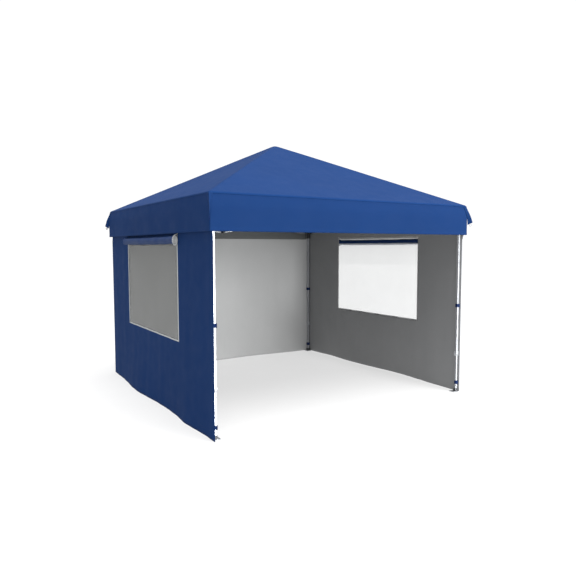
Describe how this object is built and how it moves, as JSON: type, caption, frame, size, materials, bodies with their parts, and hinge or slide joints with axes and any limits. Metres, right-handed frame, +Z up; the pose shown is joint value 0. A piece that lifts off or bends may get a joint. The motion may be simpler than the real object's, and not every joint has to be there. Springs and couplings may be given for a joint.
{
  "type": "pop up canopy",
  "caption": "Square pop-up canopy with a folding scissor frame, telescopic legs, pyramid roof, deep valance and three side walls, two with windows.",
  "frame": {"origin": "on the ground under the middle of the roof", "axes": "+Z up, the open front faces -Y, +X to the right as seen from the front"},
  "size_m": [3.0964, 3.0964, 2.7598],
  "materials": {
    "leg_steel": "satin",
    "bar_steel": "satin",
    "dark_plastic": "matte",
    "lock_plastic": "satin",
    "roof_fabric": "matte",
    "wall_fabric": "matte"
  },
  "bodies": {
    "hub_top": {"hub_top": "dark_plastic"},
    "roof_bar_front": {"roof_bar_front": "bar_steel"},
    "strut_front": {"strut_front": "bar_steel"},
    "middle_bracket_front": {"middle_bracket_front": "dark_plastic"},
    "front_bar_left_falling": {"front_bar_left_falling": "bar_steel"},
    "front_bar_left_rising": {"front_bar_left_rising": "bar_steel"},
    "front_bar_right_rising": {"front_bar_right_rising": "bar_steel"},
    "front_bar_right_falling": {"front_bar_right_falling": "bar_steel"},
    "outer_leg_front_left": {"outer_leg_front_left": "leg_steel", "valance_front_left": "roof_fabric", "wall_left": "wall_fabric"},
    "inner_leg_front_left": {"inner_leg_front_left": "leg_steel"},
    "slider_front_left": {"slider_front_left": "dark_plastic"},
    "slider_lock_front_left": {"slider_lock_front_left": "lock_plastic"},
    "leg_lock_front_left": {"leg_lock_front_left": "lock_plastic"},
    "roof_front": {"roof_front": "roof_fabric"},
    "hub_bottom": {"hub_bottom": "dark_plastic"},
    "roof_bar_right": {"roof_bar_right": "bar_steel"},
    "strut_right": {"strut_right": "bar_steel"},
    "middle_bracket_right": {"middle_bracket_right": "dark_plastic"},
    "right_bar_left_falling": {"right_bar_left_falling": "bar_steel"},
    "right_bar_left_rising": {"right_bar_left_rising": "bar_steel"},
    "right_bar_right_rising": {"right_bar_right_rising": "bar_steel"},
    "right_bar_right_falling": {"right_bar_right_falling": "bar_steel"},
    "outer_leg_front_right": {"outer_leg_front_right": "leg_steel"},
    "inner_leg_front_right": {"inner_leg_front_right": "leg_steel"},
    "slider_front_right": {"slider_front_right": "dark_plastic"},
    "slider_lock_front_right": {"slider_lock_front_right": "lock_plastic"},
    "leg_lock_front_right": {"leg_lock_front_right": "lock_plastic"},
    "roof_right": {"roof_right": "roof_fabric"},
    "roof_bar_back": {"roof_bar_back": "bar_steel"},
    "strut_back": {"strut_back": "bar_steel"},
    "middle_bracket_back": {"middle_bracket_back": "dark_plastic"},
    "back_bar_left_falling": {"back_bar_left_falling": "bar_steel"},
    "back_bar_left_rising": {"back_bar_left_rising": "bar_steel"},
    "back_bar_right_rising": {"back_bar_right_rising": "bar_steel"},
    "back_bar_right_falling": {"back_bar_right_falling": "bar_steel"},
    "outer_leg_back_right": {"outer_leg_back_right": "leg_steel", "valance_back_right": "roof_fabric", "wall_right": "wall_fabric"},
    "inner_leg_back_right": {"inner_leg_back_right": "leg_steel"},
    "slider_back_right": {"slider_back_right": "dark_plastic"},
    "slider_lock_back_right": {"slider_lock_back_right": "lock_plastic"},
    "leg_lock_back_right": {"leg_lock_back_right": "lock_plastic"},
    "roof_back": {"roof_back": "roof_fabric"},
    "roof_bar_left": {"roof_bar_left": "bar_steel"},
    "strut_left": {"strut_left": "bar_steel"},
    "middle_bracket_left": {"middle_bracket_left": "dark_plastic"},
    "left_bar_left_falling": {"left_bar_left_falling": "bar_steel"},
    "left_bar_left_rising": {"left_bar_left_rising": "bar_steel"},
    "left_bar_right_rising": {"left_bar_right_rising": "bar_steel"},
    "left_bar_right_falling": {"left_bar_right_falling": "bar_steel"},
    "outer_leg_back_left": {"outer_leg_back_left": "leg_steel", "wall_back": "wall_fabric"},
    "inner_leg_back_left": {"inner_leg_back_left": "leg_steel"},
    "slider_back_left": {"slider_back_left": "dark_plastic"},
    "slider_lock_back_left": {"slider_lock_back_left": "lock_plastic"},
    "leg_lock_back_left": {"leg_lock_back_left": "lock_plastic"},
    "roof_left": {"roof_left": "roof_fabric"},
    "peak_pole": {"peak_pole": "leg_steel"}
  },
  "joints": [
    {"name": "fold", "type": "hinge", "parent": "hub_top", "child": "roof_bar_front", "pos_m": [0, -0.038, 1.995], "axis": [1, 0, 0], "range_deg": [0, 79.4], "deforming": ["roof_front", "roof_right", "roof_back", "roof_left", "valance_front_left", "valance_back_right", "wall_left", "wall_right", "wall_back"]},
    {"name": "fold_strut_front", "type": "hinge", "parent": "roof_bar_front", "child": "strut_front", "pos_m": [0, -0.728, 1.8975], "axis": [1, 0, 0], "range_deg": [-158.81, 0]},
    {"name": "fold_middle_bracket_front", "type": "hinge", "parent": "roof_bar_front", "child": "middle_bracket_front", "pos_m": [0, -1.418, 1.8], "axis": [1, 0, 0], "range_deg": [-79.41, 0]},
    {"name": "fold_front_bar_left_falling", "type": "hinge", "parent": "middle_bracket_front", "child": "front_bar_left_falling", "pos_m": [0, -1.45, 1.8], "axis": [0, 1, 0], "range_deg": [0, 79.41]},
    {"name": "fold_front_bar_right_rising", "type": "hinge", "parent": "middle_bracket_front", "child": "front_bar_right_rising", "pos_m": [0, -1.45, 1.8], "axis": [0, 1, 0], "range_deg": [-79.41, 0]},
    {"name": "fold_front_bar_left_rising", "type": "hinge", "parent": "front_bar_left_falling", "child": "front_bar_left_rising", "pos_m": [-0.69, -1.45, 1.8975], "axis": [0, 1, 0], "range_deg": [-158.81, 0]},
    {"name": "fold_front_bar_right_falling", "type": "hinge", "parent": "front_bar_right_rising", "child": "front_bar_right_falling", "pos_m": [0.69, -1.45, 1.8975], "axis": [0, 1, 0], "range_deg": [0, 158.81]},
    {"name": "fold_outer_leg_front_left", "type": "hinge", "parent": "front_bar_left_falling", "child": "outer_leg_front_left", "pos_m": [-1.38, -1.45, 1.995], "axis": [0, 1, 0], "range_deg": [-79.41, 0]},
    {"name": "fold_slider_front_left", "type": "hinge", "parent": "front_bar_left_rising", "child": "slider_front_left", "pos_m": [-1.38, -1.45, 1.8], "axis": [0, 1, 0], "range_deg": [0, 79.41]},
    {"name": "fold_hub_bottom", "type": "hinge", "parent": "strut_front", "child": "hub_bottom", "pos_m": [0, -0.038, 1.8], "axis": [1, 0, 0], "range_deg": [0, 79.41]},
    {"name": "fold_roof_front", "type": "hinge", "parent": "outer_leg_front_left", "child": "roof_front", "pos_m": [0, -1.5, 2.035], "axis": [1, 0, 0], "range_deg": [-115.81, 0]},
    {"name": "leg_extend_front_left", "type": "slide", "parent": "outer_leg_front_left", "child": "inner_leg_front_left", "axis": [0, 0, 1], "range_m": [0, 0.345]},
    {"name": "slider_lock_pull_front_left", "type": "slide", "parent": "slider_front_left", "child": "slider_lock_front_left", "axis": [1, 0, 0], "range_m": [0, 0.006], "stiffness_N_per_m": 800, "springref_m": -0.004},
    {"name": "leg_lock_pull_front_left", "type": "slide", "parent": "outer_leg_front_left", "child": "leg_lock_front_left", "axis": [1, 0, 0], "range_m": [0, 0.006], "stiffness_N_per_m": 800, "springref_m": -0.004},
    {"name": "fold_roof_bar_right", "type": "hinge", "parent": "hub_top", "child": "roof_bar_right", "pos_m": [0.038, 0, 1.995], "axis": [0, 1, 0], "range_deg": [0, 79.41]},
    {"name": "fold_strut_right", "type": "hinge", "parent": "roof_bar_right", "child": "strut_right", "pos_m": [0.728, 0, 1.8975], "axis": [0, 1, 0], "range_deg": [-158.81, 0]},
    {"name": "fold_middle_bracket_right", "type": "hinge", "parent": "roof_bar_right", "child": "middle_bracket_right", "pos_m": [1.418, 0, 1.8], "axis": [0, 1, 0], "range_deg": [-79.41, 0]},
    {"name": "fold_right_bar_left_falling", "type": "hinge", "parent": "middle_bracket_right", "child": "right_bar_left_falling", "pos_m": [1.45, 0, 1.8], "axis": [-1, 0, 0], "range_deg": [0, 79.41]},
    {"name": "fold_right_bar_right_rising", "type": "hinge", "parent": "middle_bracket_right", "child": "right_bar_right_rising", "pos_m": [1.45, 0, 1.8], "axis": [-1, 0, 0], "range_deg": [-79.41, 0]},
    {"name": "fold_right_bar_left_rising", "type": "hinge", "parent": "right_bar_left_falling", "child": "right_bar_left_rising", "pos_m": [1.45, -0.69, 1.8975], "axis": [-1, 0, 0], "range_deg": [-158.81, 0]},
    {"name": "fold_right_bar_right_falling", "type": "hinge", "parent": "right_bar_right_rising", "child": "right_bar_right_falling", "pos_m": [1.45, 0.69, 1.8975], "axis": [-1, 0, 0], "range_deg": [0, 158.81]},
    {"name": "fold_outer_leg_front_right", "type": "hinge", "parent": "right_bar_left_falling", "child": "outer_leg_front_right", "pos_m": [1.45, -1.38, 1.995], "axis": [-1, 0, 0], "range_deg": [-79.41, 0]},
    {"name": "fold_slider_front_right", "type": "hinge", "parent": "right_bar_left_rising", "child": "slider_front_right", "pos_m": [1.45, -1.38, 1.8], "axis": [-1, 0, 0], "range_deg": [0, 79.41]},
    {"name": "fold_roof_right", "type": "hinge", "parent": "outer_leg_front_right", "child": "roof_right", "pos_m": [1.5, 0, 2.035], "axis": [0, 1, 0], "range_deg": [-115.81, 0]},
    {"name": "leg_extend_front_right", "type": "slide", "parent": "outer_leg_front_right", "child": "inner_leg_front_right", "axis": [0, 0, 1], "range_m": [0, 0.345]},
    {"name": "slider_lock_pull_front_right", "type": "slide", "parent": "slider_front_right", "child": "slider_lock_front_right", "axis": [0, 1, 0], "range_m": [0, 0.006], "stiffness_N_per_m": 800, "springref_m": -0.004},
    {"name": "leg_lock_pull_front_right", "type": "slide", "parent": "outer_leg_front_right", "child": "leg_lock_front_right", "axis": [0, 1, 0], "range_m": [0, 0.006], "stiffness_N_per_m": 800, "springref_m": -0.004},
    {"name": "fold_roof_bar_back", "type": "hinge", "parent": "hub_top", "child": "roof_bar_back", "pos_m": [0, 0.038, 1.995], "axis": [-1, 0, 0], "range_deg": [0, 79.41]},
    {"name": "fold_strut_back", "type": "hinge", "parent": "roof_bar_back", "child": "strut_back", "pos_m": [0, 0.728, 1.8975], "axis": [-1, 0, 0], "range_deg": [-158.81, 0]},
    {"name": "fold_middle_bracket_back", "type": "hinge", "parent": "roof_bar_back", "child": "middle_bracket_back", "pos_m": [0, 1.418, 1.8], "axis": [-1, 0, 0], "range_deg": [-79.41, 0]},
    {"name": "fold_back_bar_left_falling", "type": "hinge", "parent": "middle_bracket_back", "child": "back_bar_left_falling", "pos_m": [0, 1.45, 1.8], "axis": [0, -1, 0], "range_deg": [0, 79.41]},
    {"name": "fold_back_bar_right_rising", "type": "hinge", "parent": "middle_bracket_back", "child": "back_bar_right_rising", "pos_m": [0, 1.45, 1.8], "axis": [0, -1, 0], "range_deg": [-79.41, 0]},
    {"name": "fold_back_bar_left_rising", "type": "hinge", "parent": "back_bar_left_falling", "child": "back_bar_left_rising", "pos_m": [0.69, 1.45, 1.8975], "axis": [0, -1, 0], "range_deg": [-158.81, 0]},
    {"name": "fold_back_bar_right_falling", "type": "hinge", "parent": "back_bar_right_rising", "child": "back_bar_right_falling", "pos_m": [-0.69, 1.45, 1.8975], "axis": [0, -1, 0], "range_deg": [0, 158.81]},
    {"name": "fold_outer_leg_back_right", "type": "hinge", "parent": "back_bar_left_falling", "child": "outer_leg_back_right", "pos_m": [1.38, 1.45, 1.995], "axis": [0, -1, 0], "range_deg": [-79.41, 0]},
    {"name": "fold_slider_back_right", "type": "hinge", "parent": "back_bar_left_rising", "child": "slider_back_right", "pos_m": [1.38, 1.45, 1.8], "axis": [0, -1, 0], "range_deg": [0, 79.41]},
    {"name": "fold_roof_back", "type": "hinge", "parent": "outer_leg_back_right", "child": "roof_back", "pos_m": [0, 1.5, 2.035], "axis": [-1, 0, 0], "range_deg": [-115.81, 0]},
    {"name": "leg_extend_back_right", "type": "slide", "parent": "outer_leg_back_right", "child": "inner_leg_back_right", "axis": [0, 0, 1], "range_m": [0, 0.345]},
    {"name": "slider_lock_pull_back_right", "type": "slide", "parent": "slider_back_right", "child": "slider_lock_back_right", "axis": [-1, 0, 0], "range_m": [0, 0.006], "stiffness_N_per_m": 800, "springref_m": -0.004},
    {"name": "leg_lock_pull_back_right", "type": "slide", "parent": "outer_leg_back_right", "child": "leg_lock_back_right", "axis": [-1, 0, 0], "range_m": [0, 0.006], "stiffness_N_per_m": 800, "springref_m": -0.004},
    {"name": "fold_roof_bar_left", "type": "hinge", "parent": "hub_top", "child": "roof_bar_left", "pos_m": [-0.038, 0, 1.995], "axis": [0, -1, 0], "range_deg": [0, 79.41]},
    {"name": "fold_strut_left", "type": "hinge", "parent": "roof_bar_left", "child": "strut_left", "pos_m": [-0.728, 0, 1.8975], "axis": [0, -1, 0], "range_deg": [-158.81, 0]},
    {"name": "fold_middle_bracket_left", "type": "hinge", "parent": "roof_bar_left", "child": "middle_bracket_left", "pos_m": [-1.418, 0, 1.8], "axis": [0, -1, 0], "range_deg": [-79.41, 0]},
    {"name": "fold_left_bar_left_falling", "type": "hinge", "parent": "middle_bracket_left", "child": "left_bar_left_falling", "pos_m": [-1.45, 0, 1.8], "axis": [1, 0, 0], "range_deg": [0, 79.41]},
    {"name": "fold_left_bar_right_rising", "type": "hinge", "parent": "middle_bracket_left", "child": "left_bar_right_rising", "pos_m": [-1.45, 0, 1.8], "axis": [1, 0, 0], "range_deg": [-79.41, 0]},
    {"name": "fold_left_bar_left_rising", "type": "hinge", "parent": "left_bar_left_falling", "child": "left_bar_left_rising", "pos_m": [-1.45, 0.69, 1.8975], "axis": [1, 0, 0], "range_deg": [-158.81, 0]},
    {"name": "fold_left_bar_right_falling", "type": "hinge", "parent": "left_bar_right_rising", "child": "left_bar_right_falling", "pos_m": [-1.45, -0.69, 1.8975], "axis": [1, 0, 0], "range_deg": [0, 158.81]},
    {"name": "fold_outer_leg_back_left", "type": "hinge", "parent": "left_bar_left_falling", "child": "outer_leg_back_left", "pos_m": [-1.45, 1.38, 1.995], "axis": [1, 0, 0], "range_deg": [-79.41, 0]},
    {"name": "fold_slider_back_left", "type": "hinge", "parent": "left_bar_left_rising", "child": "slider_back_left", "pos_m": [-1.45, 1.38, 1.8], "axis": [1, 0, 0], "range_deg": [0, 79.41]},
    {"name": "fold_roof_left", "type": "hinge", "parent": "outer_leg_back_left", "child": "roof_left", "pos_m": [-1.5, 0, 2.035], "axis": [0, -1, 0], "range_deg": [-115.81, 0]},
    {"name": "leg_extend_back_left", "type": "slide", "parent": "outer_leg_back_left", "child": "inner_leg_back_left", "axis": [0, 0, 1], "range_m": [0, 0.345]},
    {"name": "slider_lock_pull_back_left", "type": "slide", "parent": "slider_back_left", "child": "slider_lock_back_left", "axis": [0, -1, 0], "range_m": [0, 0.006], "stiffness_N_per_m": 800, "springref_m": -0.004},
    {"name": "leg_lock_pull_back_left", "type": "slide", "parent": "outer_leg_back_left", "child": "leg_lock_back_left", "axis": [0, -1, 0], "range_m": [0, 0.006], "stiffness_N_per_m": 800, "springref_m": -0.004},
    {"name": "peak_pole_drop", "type": "slide", "parent": "hub_top", "child": "peak_pole", "axis": [0, 0, 1], "range_m": [-0.6801, 0]}
  ],
  "couplings": [
    {"joint": "fold_strut_front", "follows": "fold", "ratio": -2},
    {"joint": "fold_middle_bracket_front", "follows": "fold", "ratio": -1},
    {"joint": "fold_front_bar_left_falling", "follows": "fold", "ratio": 1},
    {"joint": "fold_front_bar_right_rising", "follows": "fold", "ratio": -1},
    {"joint": "fold_front_bar_left_rising", "follows": "fold", "ratio": -2},
    {"joint": "fold_front_bar_right_falling", "follows": "fold", "ratio": 2},
    {"joint": "fold_outer_leg_front_left", "follows": "fold", "ratio": -1},
    {"joint": "fold_slider_front_left", "follows": "fold", "ratio": 1},
    {"joint": "fold_hub_bottom", "follows": "fold", "ratio": 1},
    {"joint": "fold_roof_front", "follows": "fold", "ratio": -1.4584},
    {"joint": "fold_roof_bar_right", "follows": "fold", "ratio": 1},
    {"joint": "fold_strut_right", "follows": "fold", "ratio": -2},
    {"joint": "fold_middle_bracket_right", "follows": "fold", "ratio": -1},
    {"joint": "fold_right_bar_left_falling", "follows": "fold", "ratio": 1},
    {"joint": "fold_right_bar_right_rising", "follows": "fold", "ratio": -1},
    {"joint": "fold_right_bar_left_rising", "follows": "fold", "ratio": -2},
    {"joint": "fold_right_bar_right_falling", "follows": "fold", "ratio": 2},
    {"joint": "fold_outer_leg_front_right", "follows": "fold", "ratio": -1},
    {"joint": "fold_slider_front_right", "follows": "fold", "ratio": 1},
    {"joint": "fold_roof_right", "follows": "fold", "ratio": -1.4584},
    {"joint": "fold_roof_bar_back", "follows": "fold", "ratio": 1},
    {"joint": "fold_strut_back", "follows": "fold", "ratio": -2},
    {"joint": "fold_middle_bracket_back", "follows": "fold", "ratio": -1},
    {"joint": "fold_back_bar_left_falling", "follows": "fold", "ratio": 1},
    {"joint": "fold_back_bar_right_rising", "follows": "fold", "ratio": -1},
    {"joint": "fold_back_bar_left_rising", "follows": "fold", "ratio": -2},
    {"joint": "fold_back_bar_right_falling", "follows": "fold", "ratio": 2},
    {"joint": "fold_outer_leg_back_right", "follows": "fold", "ratio": -1},
    {"joint": "fold_slider_back_right", "follows": "fold", "ratio": 1},
    {"joint": "fold_roof_back", "follows": "fold", "ratio": -1.4584},
    {"joint": "fold_roof_bar_left", "follows": "fold", "ratio": 1},
    {"joint": "fold_strut_left", "follows": "fold", "ratio": -2},
    {"joint": "fold_middle_bracket_left", "follows": "fold", "ratio": -1},
    {"joint": "fold_left_bar_left_falling", "follows": "fold", "ratio": 1},
    {"joint": "fold_left_bar_right_rising", "follows": "fold", "ratio": -1},
    {"joint": "fold_left_bar_left_rising", "follows": "fold", "ratio": -2},
    {"joint": "fold_left_bar_right_falling", "follows": "fold", "ratio": 2},
    {"joint": "fold_outer_leg_back_left", "follows": "fold", "ratio": -1},
    {"joint": "fold_slider_back_left", "follows": "fold", "ratio": 1},
    {"joint": "fold_roof_left", "follows": "fold", "ratio": -1.4584},
    {"joint": "peak_pole_drop", "follows": "fold", "m_per_rad": -0.49069}
  ]
}
